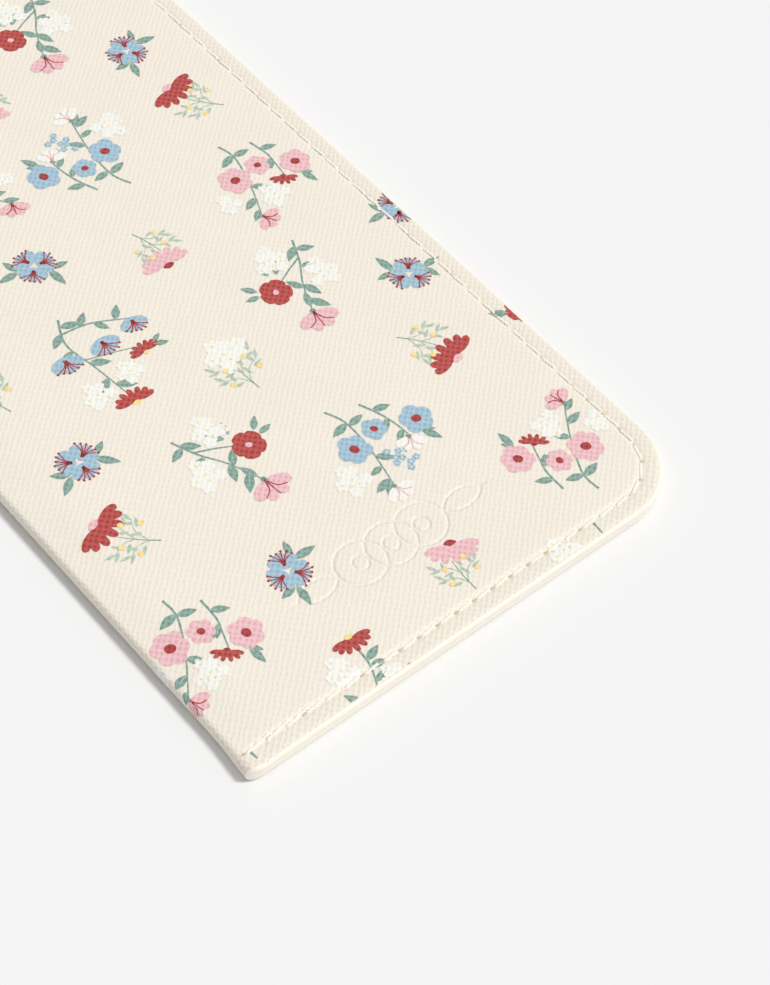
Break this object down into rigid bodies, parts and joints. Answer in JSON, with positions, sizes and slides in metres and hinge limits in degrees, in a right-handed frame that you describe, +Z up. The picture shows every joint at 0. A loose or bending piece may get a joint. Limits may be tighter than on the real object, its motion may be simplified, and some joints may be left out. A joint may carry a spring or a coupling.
{
  "type": "phone case",
  "caption": "Slip-in phone sleeve of folded, flower-printed faux leather, sewn along the closed end and one side, with painted edges and an open mouth.",
  "frame": {"origin": "centre of the sleeve's outline, on the surface that its back lies on", "axes": "+X across the sleeve from the fold to the sewn side, +Y along it from the closed end to the open mouth, +Z up out of the printed front"},
  "size_m": [0.0892, 0.16, 0.0034],
  "materials": {
    "printed_sheet": "matte, embossed crosshatch grain, small flower print",
    "lining": "matte brushed microfibre",
    "board": "matte fibre board",
    "fold_tape": "matte woven tape",
    "glue": "dull set glue",
    "edge_paint": "satin edge paint",
    "thread": "satin twisted polyester thread"
  },
  "bodies": {
    "root": {"outer_wrap": "printed_sheet", "fold_tape": "fold_tape", "back_board": "board", "front_board_margin": "board", "lining_wrap": "lining", "seam_glue": "glue", "edge_paint_seam": "edge_paint", "edge_paint_mouth_back": "edge_paint", "seam_needle_thread": "thread", "seam_bobbin_thread": "thread", "seam_backtack": "thread", "mouth_thread_back": "thread"},
    "front_ply": {"outer_front_panel": "printed_sheet", "front_board": "board", "lining_front_panel": "lining", "edge_paint_mouth_front": "edge_paint", "mouth_thread_front": "thread"}
  },
  "joints": [
    {"name": "pocket_open", "type": "slide", "parent": "root", "child": "front_ply", "axis": [0, 0, 1], "range_m": [0, 0.0085], "stiffness_N_per_m": 60}
  ]
}
